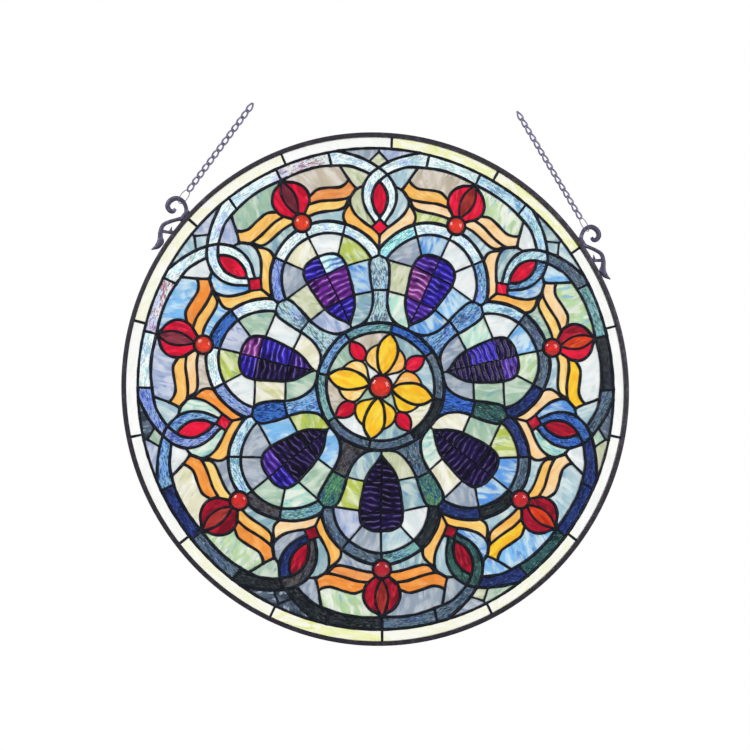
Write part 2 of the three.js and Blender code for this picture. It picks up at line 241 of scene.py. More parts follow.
def bud_lines():
    lines = [
        Line(straight(KITE_SIDE[0], (0, BORDER_RADIUS)), FINE_LEAD),
        Line(straight(ARCH_INNER[-1], SQUARE_TOP), FINE_LEAD),
        Line(straight(SQUARE_FOOT, ROOF_TOP), MAIN_LEAD),
        Line(straight(*SPOKE_JOINT), FINE_LEAD),
    ]
    arch_inner = smooth([*turned(ARCH_INNER_FROM_FLOWER, SECTOR / 2), *ARCH_INNER])
    curves = [(arch_inner, MAIN_LEAD), (smooth(ARCH_OUTER), MAIN_LEAD), (straight(*KITE_SIDE), FINE_LEAD),
              (smooth(BUD_SHOULDER), MAIN_LEAD), (straight(SQUARE_TOP, SQUARE_SIDE), FINE_LEAD),
              (straight(SQUARE_SIDE, SQUARE_FOOT), FINE_LEAD), (smooth(SEPAL_SIDE), MAIN_LEAD)]
    for points, half in curves:
        lines += two_lines(points, half)
    return lines


def middle_lines():
    lines = [circle((0, 0), CENTRE_RING_OUTER, RING_LEAD), circle((0, 0), CENTRE_RING_INNER, MAIN_LEAD),
             circle((0, 0), CENTRE_JEWEL_SEAT, JEWEL_LEAD, JEWEL_STEP)]
    joint = straight((0, CENTRE_RING_INNER), (0, CENTRE_RING_OUTER))
    for i in range(CENTRE_PANES):
        lines.append(Line(turned(joint, CENTRE_TURN - 90 + i * 360 / CENTRE_PANES), FINE_LEAD))
    for i in range(PETALS):
        petal_turn = CENTRE_TURN - 90 + i * 360 / PETALS
        lines += two_lines(smooth(PETAL), MAIN_LEAD, petal_turn)
        lines += two_lines(smooth(SIDE_PETAL), FINE_LEAD, petal_turn)
        lines += two_lines(smooth(LEAF), FINE_LEAD, petal_turn + 180 / PETALS)
    return lines


def border_joints():
    joints = 2 * SECTORS
    joint = straight((0, BORDER_RADIUS), (0, GLASS_EDGE))
    lines = []
    for i in range(joints):
        drift = BORDER_JOINT_TURN + BORDER_JOINT_DRIFT * ((i - FIRST_BORDER_JOINT) % joints)
        lines.append(Line(turned(joint, flower_turn(i / 2) + drift), FINE_LEAD))
    return lines


def panel_lines():
    lines = [circle((0, 0), GLASS_EDGE, FINE_LEAD), circle((0, 0), BORDER_RADIUS, BORDER_LEAD),
             *border_joints()]
    for k in range(SECTORS):
        lines += [line._replace(points=turned(line.points, flower_turn(k))) for line in flower_lines()]
        lines += [line._replace(points=turned(line.points, bud_turn(k))) for line in bud_lines()]
    return lines + middle_lines()


# Where no lead line is drawn: under the jewels, and on one side of each crossing of the ribbons
SEAT_MARGIN = 0.2


def open_places():
    places = [((0, 0), CENTRE_JEWEL_SEAT - SEAT_MARGIN)]
    for k in range(SECTORS):
        places.append((turned([JEWEL_CENTRE], flower_turn(k))[0], JEWEL_SEAT - SEAT_MARGIN))
        places.append((turned([CROSSING_LEFT_OPEN[0]], bud_turn(k))[0], CROSSING_LEFT_OPEN[1]))
    return places


# Panes are cut by hand: every line strays a little, but not at the border and round the jewels
HAND_CUT = 1.5
HAND_CUT_WAVE = 42
STEADY_EDGE = 24
STEADY_JEWEL = 9
EDGE_MARGIN = 1
JEWEL_MARGIN = 0.5
HAND_CUT_SEED = 7
noise.seed_set(HAND_CUT_SEED)


def hand_cut(point):
    here = Vector(point)
    steady = (BORDER_RADIUS - EDGE_MARGIN - here.length) / STEADY_EDGE
    for k in range(SECTORS):
        away = (here - Vector(turned([JEWEL_CENTRE], flower_turn(k))[0])).length - JEWEL_SEAT
        steady = min(steady, (away - JEWEL_MARGIN) / STEADY_JEWEL)
    steady = min(steady, (here.length - CENTRE_JEWEL_SEAT - JEWEL_MARGIN) / STEADY_JEWEL)
    stray = noise.noise_vector(Vector((*here / HAND_CUT_WAVE, 0)))
    return here + Vector(stray.xy) * HAND_CUT * min(1, max(0, steady))


# Cross all lines with each other, drop loose ends, and keep which line each short edge came from
def cross_lines(lines):
    points, edges, owners = [], [], []
    for index, line in enumerate(lines):
        start = len(points)
        path = line.points if line.closed else overrun(line.points)
        points += [Vector(p[:2]) for p in path]
        edges += [(start + i, start + i + 1) for i in range(len(path) - 1)]
        owners += [index] * (len(path) - 1)
        if line.closed:
            edges.append((start + len(path) - 1, start))
            owners.append(index)
    crossed = geometry.delaunay_2d_cdt(points, edges, [], 0, CROSSING_REACH)
    places = open_places()
    kept = {}
    for edge, sources in zip(crossed[1], crossed[4]):
        if not sources:
            continue
        middle = (crossed[0][edge[0]] + crossed[0][edge[1]]) / 2
        if not any((middle - Vector(centre)).length < reach for centre, reach in places):
            kept[tuple(edge)] = owners[sources[0]]
    return crossed[0], without_loose_ends(kept)


def neighbours_of(edges):
    neighbours = {}
    for a, b in edges:
        neighbours.setdefault(a, set()).add(b)
        neighbours.setdefault(b, set()).add(a)
    return neighbours


def without_loose_ends(edges):
    edges = dict(edges)
    while True:
        neighbours = neighbours_of(edges)
        loose = [e for e in edges if len(neighbours[e[0]]) == 1 or len(neighbours[e[1]]) == 1]
        if not loose:
            return edges
        for edge in loose:
            del edges[edge]


# Walk round every closed cell between the lines
def cells_between(points, edges):
    around = {}
    for here, others in neighbours_of(edges).items():
        around[here] = sorted(others, key=lambda o: math.atan2(*(points[o] - points[here]).yx))
    waiting = {*edges, *((b, a) for a, b in edges)}
    cells = []
    while waiting:
        first = step = min(waiting)
        loop = []
        while True:
            waiting.discard(step)
            loop.append(step[0])
            ring = around[step[1]]
            step = (step[1], ring[ring.index(step[0]) - 1])
            if step == first:
                break
        cells.append([points[i] for i in loop])
    return [cell for cell in cells if area_of(cell) > SMALLEST_PANE]


def area_of(loop):
    return sum(a.x * b.y - b.x * a.y for a, b in zip(loop, loop[1:] + loop[:1])) / 2


def inside(point, loop):
    crossings = 0
    for a, b in zip(loop, loop[1:] + loop[:1]):
        if (a.y > point[1]) != (b.y > point[1]):
            crossings += point[0] < a.x + (b.x - a.x) * (point[1] - a.y) / (b.y - a.y)
    return crossings % 2 == 1


# Which glass lies where: the nodes, and for each of their panes its glass and a point in it
FLOWER_PANES = {
    "arch_field_glass": [
        ("arch", (35, 277)), ("arch", to_flower([(-30, 269.5)])[0]), ("field", (45, 252)),
        ("field", (28, 210.5)), ("field", to_flower([(-24, 250)])[0]), ("tulip", (17, 245)),
        ("upper_wing", (45, 232.5)), ("lower_wing", (45, 218)),
    ],
    "medallion_glass": [("ring", (20, 200)), ("ring", (58.8, 165.7)), ("pale", (15, 184)),
                        ("pale", (41, 160)), ("pale", (36, 125)), ("pale", (24, 94))],
    "teardrop_glass": [("teardrop", (10, 160)), ("teardrop", (12, 130)), ("teardrop", (7, 100))],
    "border_glass": [("border", turned([(0, 293)], -SECTOR / 4)[0])],
}
FLOWER_AXIS_PANES = {"arch_field_glass": [("tulip_heart", (0, 250))]}
BUD_PANES = {"spandrel_glass": [("spandrel", (15, 278))],
             "bud_glass": [("eye", (14.5, 229)), ("crescent", (27, 222)), ("sepal", (20, 189.5))]}
BUD_AXIS_PANES = {"spandrel_glass": [("kite", (0, 273))],
                  "bud_glass": [("seed", (0, 225)), ("square", (0, 191))],
                  "medallion_glass": [("spoke", (0, 135)), ("spoke", (0, 96))]}
PETAL_PANES = [("petal", (0, 36)), ("side_petal", (17, 31)), ("side_petal", (-17, 31)),
               ("middle_pale", (19, 50)), ("middle_pale", (-19, 50))]
LEAF_PANES = [("leaf", (0, 52)), ("middle_pale", (0, 24))]
ONE_NODE = {"medallion_glass"}

# Sheets of glass: the main tint, the colour of its streaks or flecks, and that of its wisps; on rippled and
# hammered sheets that last colour is their painted highlight
SHEETS = {
    "ice": "#fdffff #b2c6d2 #ffffff", "frost": "#d4ebf5 #6a95b2 #ffffff",
    "aqua": "#c6f6f2 #58a2b0 #f0fffc", "lilac": "#98a8de #404e96 #e4eafc",
    "steel": "#8ab2de #2f4f80 #e2effa", "blue": "#3e6cc0 #142c64 #86b2f2",
    "navy": "#2a3976 #101838 #6a80cc", "teal": "#86b0b2 #365c66 #d8eeea",
    "pine": "#385c59 #142b2b #98c6b2", "slate": "#647488 #2c3846 #b8c6d4",
    "umber": "#585256 #262226 #a0969c", "moss": "#548660 #24486a #b0d2aa",
    "black": "#2b2f33 #0c0e10 #6f7a80", "pearl": "#bed4de #405468 #f4efe0",
    "nacre": "#f2eef0 #a8607a #9fe4e8",
    "white": "#f6f8f6 #e6eef0 #d8e6ea", "cream": "#ece9cd #f9f8f0 #d3d79a",
    "meadow": "#bfdca8 #f3f7ec #8cc4de", "mist": "#b0ced8 #deecec #86b2d2",
    "grey": "#9aa8b8 #c6ced6 #7f94ba", "sage": "#a6c6ae #d6e4d4 #7eb2b6",
    "khaki": "#c9d0ac #e6e8d2 #a8bc8e", "lime": "#bfce58 #e9eec6 #8fb88e",
    "mint": "#bbe4d4 #f2f8ec #70bdc8", "sky": "#86c4f2 #d6ebf4 #5f9ce6",
    "azure": "#62a2e8 #cce4ec #3c74d8", "lagoon": "#92b6c0 #d2e4e0 #6a94c4",
    "lavender": "#a8b8d8 #d8deec #8098d4", "sand": "#cbbfac #e6e0d8 #b2ac96",
    "ivory": "#fdfdf4 #f7f8dc #ffffff", "snow": "#ffffff #f9fbf6 #f4f7f0",
    "primrose": "#f5f7c0 #fdfdf2 #e6ee96",
    "ink": "#1d1240 #0c0718 #6a5c92", "indigo": "#2f21a0 #150d52 #8b7cf0",
    "violet": "#4c2b9c #241358 #a98ae6", "plum": "#602484 #2e104a #c88ade",
    "orchid": "#8c3f94 #451a5e #f2c4ec", "aurora": "#c4f2fa #5a86cc #ffffff",
    "orange": "#f9a44c #ee8832 #fcc284", "amber": "#fcc76c #f7ae48 #fede9e",
    "copper": "#f2a05a #e08446 #f8ba84", "honey": "#ffda84 #fbbe52 #fff0be",
    "peach": "#fdd296 #fee4bc #f9b664", "yolk": "#fed434 #f8b220 #ffe670",
    "crimson": "#ee163e #ae0c2a #f83e5c", "scarlet": "#e0401a #a8200e #f06a34",
    "brick": "#ae3630 #761818 #cc5e4c", "maroon": "#8a3646 #581a28 #ac5666",
    "garnet": "#b41030 #62081a #dc3048",
}

# Sheets in each sector, anticlockwise from the lowest flower, right side first, the last for all the rest
DARKER_BELOW = "garnet, garnet, crimson, crimson, crimson, crimson, garnet"
CHART = {
    "arch": "black slate black slate, pine navy, black teal slate, frost ice frost ice, nacre ice, "
            "nacre ice ice lilac, navy slate steel black",
    "field": "meadow grey grey lagoon grey, sky mist mist mist sky white, white meadow mist sage mist sky, "
             "meadow sand mist lime white mist, sand sage mist lagoon khaki lavender, "
             "sky lavender sky sand white mist, cream meadow grey lagoon white sage",
    "tulip": "garnet, garnet, crimson garnet, crimson, crimson, crimson, garnet",
    "tulip_heart": "brick, scarlet, scarlet, brick, maroon, maroon, brick",
    "upper_wing": "orange, yolk peach, yolk peach, peach amber, copper amber, orange amber, orange",
    "lower_wing": "copper orange, amber, honey, peach, honey, amber peach, honey amber",
    "ring": "slate teal slate black, black slate navy, slate slate navy frost, ice ice steel aqua, "
            "ice ice ice lilac, blue ice ice lilac, frost umber frost teal",
    "pale": "grey mist lavender white lime lagoon lagoon khaki, "
            "azure azure grey lime cream sage mint cream, meadow sky sage white sage mint grey, "
            "white azure white grey sky khaki azure mint, white cream lime grey azure khaki lagoon lavender, "
            "lavender lime sage white white cream cream sage, grey sage grey mint sky sage lime sky",
    "teardrop": "ink, ink, violet ink ink indigo ink, indigo violet indigo orchid violet, "
                "aurora indigo plum plum indigo, orchid indigo indigo ink violet ink, violet indigo ink",
    "eye": "pine, blue, steel frost, ice, ice, steel lilac, navy umber",
    "crescent": "mist azure, mint azure, azure lagoon, mist khaki, mist sky, mint, grey lagoon",
    "sepal": "amber honey, peach, amber peach, peach amber, honey, orange amber, peach amber",
    "spoke": "moss slate, pine blue, steel, pearl, pearl, blue steel, moss umber",
    "kite": "khaki, sage, mist, khaki, mist, sage, slate",
    "spandrel": "grey sage, khaki slate, mist lagoon, lavender grey, lavender mist, slate lavender, slate",
    "seed": DARKER_BELOW, "square": DARKER_BELOW,
    "border": "primrose ivory, ivory snow, snow, primrose, snow ivory, ivory snow, snow ivory",
}

# Sheets of the middle, anticlockwise from the upper petal
CHART.update({
    "centre_ring": "teal, steel, teal, slate, slate, black, slate, blue",
    "petal": "yolk, yolk, yolk, yolk",
    "leaf": "crimson, crimson, crimson, crimson",
    "side_petal": "amber honey, honey, yolk, yolk amber",
    "middle_pale": "lagoon sand white, sage sand sage, white lagoon sage, cream mist white",
})

FINISH = {"teardrop": "ripple_glass", "border": "clear_opal"}
FINISH.update(dict.fromkeys(["arch", "eye", "ring", "spoke", "centre_ring"], "water_glass"))
FINISH.update(dict.fromkeys(["field", "pale", "middle_pale", "spandrel", "kite", "crescent"], "opal_glass"))
PLAIN_FINISH = "streaky_glass"
FINISHES = ["opal_glass", "clear_opal", "streaky_glass", "ripple_glass", "water_glass"]

Spot = namedtuple("Spot", "glass node point turn sheet")


def pane_spots():
    spots = []
    done = {}

    def add(glass, node, point, turn, part):
        sheets = CHART[glass].split(", ")[part].split()
        order = done.get((glass, part), 0)
        done[glass, part] = order + 1
        sheet = sheets[min(order, len(sheets) - 1)]
        spots.append(Spot(glass, node, turned([point], turn)[0], turn, sheet))

    for k in range(SECTORS):
        flower, bud = flower_turn(k), bud_turn(k)
        for group, turn, sided in [(FLOWER_PANES, flower, True), (FLOWER_AXIS_PANES, flower, False),
                                   (BUD_PANES, bud, True), (BUD_AXIS_PANES, bud, False)]:
            for node, panes in group.items():
                name = node if node in ONE_NODE else f"{node}_{k + 1}"
                for glass, point in panes:
                    for side in both_sides([point]) if sided else [[point]]:
                        add(glass, name, side[0], turn, k)
    ring_panes = [("centre_ring", (0, (CENTRE_RING_INNER + CENTRE_RING_OUTER) / 2))]
    for panes, count, start in [(ring_panes, CENTRE_PANES, 0.5), (PETAL_PANES, PETALS, 0),
                                (LEAF_PANES, PETALS, 0.5)]:
        for i in range(count):
            for glass, point in panes:
                add(glass, "centre_glass", point, CENTRE_TURN - 90 + (i + start) * 360 / count, i)
    return spots


def linear(hex_colour):
    channels = [int(hex_colour[i:i + 2], 16) / 255 for i in (1, 3, 5)]
    return tuple(c / 12.92 if c <= 0.04045 else ((c + 0.055) / 1.055) ** 2.4 for c in channels)


# Direction of a pane's length, for streaks that run along it
def length_turn(loop):
    middle = sum(loop, Vector((0, 0))) / len(loop)
    spread = [p - middle for p in loop]
    lengthwise = sum(p.x * p.x - p.y * p.y for p in spread)
    slanting = sum(2 * p.x * p.y for p in spread)
    return math.degrees(math.atan2(slanting, lengthwise)) / 2


# Helpers for pieces: panel place in metres, one active object, riding on the frame, swept curves
SMOOTH_ANGLE = 35
WELD = 1e-6


def at(x, y, front=0.0):
    return Vector((x, -front, y - PANEL_DROP)) * MM


def only(piece):
    bpy.ops.object.select_all(action="DESELECT")
    piece.select_set(True)
    bpy.context.view_layer.objects.active = piece


def placed(name, mesh_or_curve):
    piece = bpy.data.objects.new(name, mesh_or_curve)
    bpy.context.collection.objects.link(piece)
    only(piece)
    return piece


def dress(piece, material, nodes):
    if material:
        piece.data.materials.clear()
        piece.data.materials.append(material)
    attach(piece, "root")
    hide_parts(*nodes)


def edit_all():
    bpy.ops.object.mode_set(mode="EDIT")
    bpy.ops.mesh.select_all(action="SELECT")


def end_edit():
    bpy.ops.object.mode_set(mode="OBJECT")


def faces_outward(weld=None):
    edit_all()
    if weld:
        bpy.ops.mesh.remove_doubles(threshold=weld)
    bpy.ops.mesh.normals_make_consistent(inside=False)
    end_edit()


def smooth_faces():
    bpy.ops.object.shade_smooth_by_angle(angle=math.radians(SMOOTH_ANGLE))


def new_curve(name, dimensions, **values):
    curve = bpy.data.curves.new(name, "CURVE")
    curve.dimensions = dimensions
    for key, value in values.items():
        setattr(curve, key, value)
    return curve


def add_path(curve, places, closed, radii):
    spline = curve.splines.new("POLY")
    spline.points.add(len(places) - 1)
    spline.use_cyclic_u = closed
    for point, place, radius in zip(spline.points, places, radii):
        point.co = (*place, 1)
        point.radius = radius


def swept(name, curve):
    placed(name, curve)
    bpy.ops.object.convert(target="MESH")
    return bpy.context.object


# Panes: flat outlines with a thickness; streaks run along each pane, or at an angle to its axis
SHEET_LENGTH = 100
SHEET_SHIFT = 40
GRAIN_SWING = 12
GRAIN = {"teardrop": (0, 12), "field": (90, 28)}
GRAIN.update(dict.fromkeys(["pale", "spandrel", "middle_pale"], (90, 60)))
SHEET_COLOURS = ["tint", "streak", "accent_and_highlight"]

# Ripples of the teardrops: waves across the grain that stray a little, on panes cut in rows and columns
RIPPLE_PITCH = 6.8
RIPPLE_HEIGHT = 0.6
RIPPLE_STRAY = 2.6
RIPPLE_STRAY_LENGTH = 15
RIPPLE_ROW = 1.0
RIPPLE_COLUMN = 2.5


def cut_straight(turn, places):
    for place in turned(places, turn):
        away = Vector((*place, 0))
        bpy.ops.mesh.select_all(action="SELECT")
        bpy.ops.mesh.bisect(plane_co=at(away.x, away.y), plane_no=away.normalized().xzy)


def rippled(piece, turn):
    rows = math.ceil((TEARDROP_TOP - TEARDROP_TIP) / RIPPLE_ROW)
    columns = math.ceil(TEARDROP_HALF_WIDTH / RIPPLE_COLUMN)
    edit_all()
    cut_straight(turn, [(0, TEARDROP_TIP + i * RIPPLE_ROW) for i in range(rows + 1)])
    cut_straight(turn, [(side * (i + 0.5) * RIPPLE_COLUMN, 0) for i in range(columns) for side in (1, -1)])
    end_edit()
    mesh = piece.data
    sheet = mesh.uv_layers["sheet"]
    phase = mesh.attributes.new("ripple", "FLOAT", "POINT")
    for loop in mesh.loops:
        place = Vector((*sheet.data[loop.index].uv, 0)) * SHEET_LENGTH
        stray = RIPPLE_STRAY * noise.fractal(place / RIPPLE_STRAY_LENGTH, 1.0, 2.0, 2)
        phase.data[loop.vertex_index].value = 2 * math.pi * place.y / RIPPLE_PITCH + stray
    for vertex, item in zip(mesh.vertices, phase.data):
        vertex.co.y -= RIPPLE_HEIGHT / 2 * MM * math.sin(item.value)


def glass_piece(node, panes):
    vertices, faces, colours, sheet_points, finishes = [], [], [], [], []
    for spot, loop in panes:
        chance = random.Random(f"{spot.glass} {spot.point[0]:.0f} {spot.point[1]:.0f}")
        colours.append([(*linear(colour), 1) for colour in SHEETS[spot.sheet].split()])
        along, swing = GRAIN.get(spot.glass, (None, GRAIN_SWING))
        along = length_turn(loop) if along is None else spot.turn + along
        grain = along + chance.uniform(-swing, swing)
        shift = (chance.uniform(0, SHEET_SHIFT), chance.uniform(0, SHEET_SHIFT))
        faces.append([len(vertices) + i for i in range(len(loop))])
        vertices += [at(p.x, p.y, -GLASS_HALF) for p in loop]
        finishes.append(FINISHES.index(FINISH.get(spot.glass, PLAIN_FINISH)))
        for x, y in turned(loop, -grain):
            sheet_points.append((x / SHEET_LENGTH + shift[0], y / SHEET_LENGTH + shift[1]))
    mesh = bpy.data.meshes.new(node + "_panes")
    mesh.from_pydata(vertices, [], faces)
    sheet = mesh.uv_layers.new(name="sheet")
    for item, point in zip(sheet.data, sheet_points):
        item.uv = point
    for i, name in enumerate(SHEET_COLOURS):
        layer = mesh.attributes.new(name, "FLOAT_COLOR", "FACE")
        for item, sheet_colours in zip(layer.data, colours):
            item.color = sheet_colours[i]
    for finish in FINISHES:
        mesh.materials.append(MATERIALS[finish])
    mesh.polygons.foreach_set("material_index", finishes)
    piece = placed(node + "_panes", mesh)
    ripples = panes[0][0].glass == "teardrop"
    if ripples:
        rippled(piece, panes[0][0].turn)
    thickness = piece.modifiers.new("thickness", "SOLIDIFY")
    thickness.thickness = 2 * GLASS_HALF * MM
    thickness.offset = 1
    bpy.ops.object.modifier_apply(modifier=thickness.name)
    faces_outward()
    if ripples:
        smooth_faces()
    dress(piece, None, [node])


def all_glass(cells):
    groups = {}
    for spot in pane_spots():
        cell = next(cell for cell in cells if inside(spot.point, cell))
        groups.setdefault(spot.node, []).append((spot, [hand_cut(point) for point in cell]))
    for node, panes in groups.items():
        glass_piece(node, panes)


# Lead lines: solder beads swept along each run of edges, a little uneven, fuller where they meet
BEAD_HEIGHT = 1.65
BEAD_DEPTH = 3.2
BEAD_SIDES = 8
JOINT_SWELL = 0.16
UNEVEN = 0.22
UNEVEN_WAVE = 9


def bead_profile():
    angles = [2 * math.pi * (i + 0.5) / BEAD_SIDES for i in range(BEAD_SIDES)]
    places = [(MM * math.cos(a), MM * BEAD_HEIGHT * math.sin(a), 0) for a in angles]
    curve = new_curve("bead_profile", "2D")
    add_path(curve, places, True, [1] * BEAD_SIDES)
    return placed("bead_profile", curve)


def runs_of(edges):
    by_line = {}
    for edge, owner in edges.items():
        by_line.setdefault(owner, []).append(edge)
    for owner, pieces in by_line.items():
        neighbours = neighbours_of(pieces)
        left = {frozenset(edge) for edge in pieces}
        starts = [p for p, others in neighbours.items() if len(others) != 2] or [pieces[0][0]]
        while left:
            here = next((p for p in starts if any(p in edge for edge in left)), None)
            if here is None:
                here = min(min(edge) for edge in left)
            run = [here]
            while True:
                ahead = next((o for o in neighbours[run[-1]] if frozenset((run[-1], o)) in left), None)
                if ahead is None:
                    break
                left.discard(frozenset((run[-1], ahead)))
                run.append(ahead)
            yield owner, run


# Press a round swept piece flat, the same on the front and the back
def pressed(piece, depth):
    for vertex in piece.data.vertices:
        vertex.co.y = math.tanh(vertex.co.y / MM / depth) * depth * MM


def lead_lines(lines, points, edges):
    crowd = {p: len(others) for p, others in neighbours_of(edges).items()}
    profile = bead_profile()
    curve = new_curve("lead_beads", "2D", bevel_mode="OBJECT", bevel_object=profile)
    for owner, run in runs_of(edges):
        closed = run[0] == run[-1]
        places, radii = [], []
        for index in run[:-1] if closed else run:
            x, y = hand_cut(points[index])
            wobble = noise.noise(Vector((x, y, owner)) / UNEVEN_WAVE) * UNEVEN
            swell = JOINT_SWELL if crowd[index] > 2 else 0
            places.append((x * MM, y * MM, 0))
            radii.append(lines[owner].half * (1 + wobble + swell))
        add_path(curve, places, closed, radii)
    piece = swept("lead_beads", curve)
    piece.rotation_euler = (math.pi / 2, 0, 0)
    piece.location = at(0, 0)
    bpy.ops.object.transform_apply()
    pressed(piece, BEAD_DEPTH)
    faces_outward()
    bpy.ops.object.shade_smooth()
    bpy.data.objects.remove(profile)
    dress(piece, MATERIALS["patina"], ["lead_lines"])


# Turned pieces: a profile of (radius, height to the front) spun round a centre of the panel
def lathe(name, profile, centre, steps, closed):
    mesh = bpy.data.meshes.new(name)
    count = len(profile)
    edges = [(i, (i + 1) % count) for i in range(count if closed else count - 1)]
    mesh.from_pydata([at(centre[0] + r, centre[1], h) for r, h in profile], edges, [])
    piece = placed(name, mesh)
    edit_all()
    bpy.ops.mesh.spin(steps=steps, angle=2 * math.pi, center=at(*centre), axis=(0, 1, 0))
    end_edit()
    faces_outward(WELD)
    smooth_faces()
    return piece


def quarter_turn(count):
    return [i * math.pi / 2 / count for i in range(count + 1)]


RIM_ROUND = 1.1
RIM_BEVEL = 0.5
RIM_STEPS = 176


def rim():
    corner = [(math.sin(a), math.cos(a)) for a in quarter_turn(4)]
    outer = RIM_RADIUS - RIM_ROUND
    face = RIM_HALF_DEPTH - RIM_ROUND
    front = [(outer + RIM_ROUND * x, face + RIM_ROUND * y) for x, y in corner]
    back = [(r, -h) for r, h in reversed(front)]
    lip = [(RIM_INNER + RIM_BEVEL, RIM_HALF_DEPTH), (RIM_INNER, RIM_HALF_DEPTH - RIM_BEVEL),
           (RIM_INNER, RIM_SLOT_HALF), (RIM_SLOT_RADIUS, RIM_SLOT_HALF)]
    inner = [(r, -h) for r, h in lip] + lip[::-1]
    piece = lathe("rim_channel", front + back + inner, (0, 0), RIM_STEPS, True)
    dress(piece, MATERIALS["black_bronze"], ["rim"])


# Jewel colours, sector by sector from the lowest flower anticlockwise; each has painted shade darkening it
# towards its edge
JEWEL_COLOURS = ["#c00e2a", "#d21420", "#e01c18", "#f03420", "#f03c14", "#f03c1c", "#e01c1c"]
CENTRE_JEWEL_COLOUR = "#ec2c18"
JEWEL_PAINTED_SHADE_FROM = 0.62
JEWEL_PAINTED_EDGE_SHADE = 0.2
JEWEL_FOOT = 0.9
JEWEL_FOOT_HEIGHT = 0.6
JEWEL_STEPS = 40


def jewel(node, centre, radius, colour):
    dome = JEWEL_HEIGHT - GLASS_HALF
    profile = [(0, -GLASS_HALF), (radius * JEWEL_FOOT, -GLASS_HALF),
               (radius, JEWEL_FOOT_HEIGHT - GLASS_HALF)]
    profile += [(radius * math.cos(a), GLASS_HALF + dome * math.sin(a)) for a in quarter_turn(10)]
    piece = lathe(node + "_dome", profile, centre, JEWEL_STEPS, False)
    tint = piece.data.attributes.new("tint", "FLOAT_COLOR", "POINT")
    # Painted shade: each jewel's tint darkens towards its edge, standing in for the dark rim a real dome
    # shows by refraction
    for vertex, item in zip(piece.data.vertices, tint.data):
        across = math.dist((vertex.co.x, vertex.co.z), at(*centre).xz) / MM / radius
        edge = max(0.0, across - JEWEL_PAINTED_SHADE_FROM) / (1 - JEWEL_PAINTED_SHADE_FROM)
        shade = 1 - (1 - JEWEL_PAINTED_EDGE_SHADE) * edge
        item.color = (*(channel * shade for channel in linear(colour)), 1)
    dress(piece, MATERIALS["jewel_glass"], [node])


# Scroll hooks, in (outwards, along the rim, width) from the root on the right shoulder
HOOK_DEPTH = 1.7
HOOK_STEP = 1.2
HOOK_THINNEST = 0.3
HOOK_STROKES = [
    [(-1, -1, 6.4), (6, 6.2, 4.8), (14, 9.6, 5.2), (22, 7.2, 6), (25.3, 0, 6.4), (23.5, -6.5, 6.2),
     (18.2, -8.8, 5.8), (14.6, -7, 5.4), (14.4, -3, 3.8)],
    [(-1, -3, 6.4), (4, -10, 4.6), (9.5, -19, 4.6), (12.4, -27, 5), (9.5, -35, 5.6), (4, -42, 6.4),
     (0.8, -49, 7), (3.5, -58, 1.2)],
    [(10, -34, 4.6), (5, -31, 3.8), (1, -28.2, 4), (-2, -26, 5)],
    [(-0.5, -28, 4.6), (1.8, -25.8, 3.4), (3.8, -21.6, 0.6)],
    [(5, -40, 5.4), (1.4, -44, 8), (1.4, -51, 6)],
    [(1.4, 6, 4), (1.6, 0, 6), (1.4, -10, 4)],
]
HOOK_HOLD = (16.1, 9.4)
Shoulder = namedtuple("Shoulder", "mirror root_angle links lean")
SIDES = {"right": Shoulder(1, 35.6, 15, 31), "left": Shoulder(-1, 41.1, 13, 35.65)}


def on_hook(points, side):
    lifted = [(RIM_RADIUS + p[0], *p[1:]) for p in points]
    return [(p[0] * side.mirror, *p[1:]) for p in turned(lifted, side.root_angle)]


def hook(side_name):
    name = "scroll_" + side_name
    curve = new_curve(name, "3D", bevel_depth=MM / 2, bevel_resolution=3, use_fill_caps=True)
    for stroke in HOOK_STROKES:
        path = smooth(on_hook(stroke, SIDES[side_name]), HOOK_STEP)
        add_path(curve, [at(p[0], p[1]) for p in path], False, [max(HOOK_THINNEST, p[2]) for p in path])
    piece = swept(name, curve)
    pressed(piece, HOOK_DEPTH)
    faces_outward(WELD)
    bpy.ops.object.shade_smooth()
    dress(piece, MATERIALS["cast_bronze"], ["hook_" + side_name])


# Chains: oval links of wire, each twisted half by half, along a leaning line from the hook
LINK_PITCH = 9.93
LINK_WIRE = 1.12
LINK_HALF_WIDTH = 2.9
LINK_TWIST = 40
LINK_TURN = 20
FIRST_LINK = 19.6
WIRE_LINK_WIRE = 0.55
WIRE_LINK_HALF_WIDTH = 4.9
WIRE_LINK_HALF_LENGTH = 9.5
WIRE_LINK_TURN = 30
WIRE_LINK_MIDDLE = 5.4
WIRE_POINTS = 26


def wire_link(curve, stand, half_length, half_width, wire, twist, turn):
    places = []
    for i in range(WIRE_POINTS):
        angle = 2 * math.pi * i / WIRE_POINTS
        lift = math.radians(turn + twist * math.cos(angle))
        side = half_width * math.sin(angle)
        place = Vector((half_length * math.cos(angle), side * math.cos(lift), side * math.sin(lift)))
        places.append(stand @ (place * MM))
    add_path(curve, places, True, [wire] * WIRE_POINTS)


def chain(side_name):
    side = SIDES[side_name]
    upright = Matrix.Rotation(math.pi / 2, 4, "X")
    lean = Matrix.Rotation(math.radians(90 + side.mirror * side.lean), 4, "Z")
    stand = Matrix.Translation(at(*on_hook([HOOK_HOLD], side)[0])) @ upright @ lean
    curve = new_curve("curb_chain_" + side_name, "3D", bevel_depth=MM, bevel_resolution=2)
    loop = (WIRE_LINK_HALF_LENGTH, WIRE_LINK_HALF_WIDTH, WIRE_LINK_WIRE, 0, WIRE_LINK_TURN)
    wire_link(curve, stand @ Matrix.Translation((WIRE_LINK_MIDDLE * MM, 0, 0)), *loop)
    link = (LINK_PITCH / 2 + LINK_WIRE, LINK_HALF_WIDTH, LINK_WIRE, LINK_TWIST, LINK_TURN)
    for i in range(side.links):
        along = Matrix.Translation(((FIRST_LINK + i * LINK_PITCH) * MM, 0, 0))
        wire_link(curve, stand @ along, *link)
    piece = swept("curb_chain_" + side_name, curve)
    faces_outward()
    bpy.ops.object.shade_smooth()
    dress(piece, MATERIALS["chain_steel"], ["chain_" + side_name])


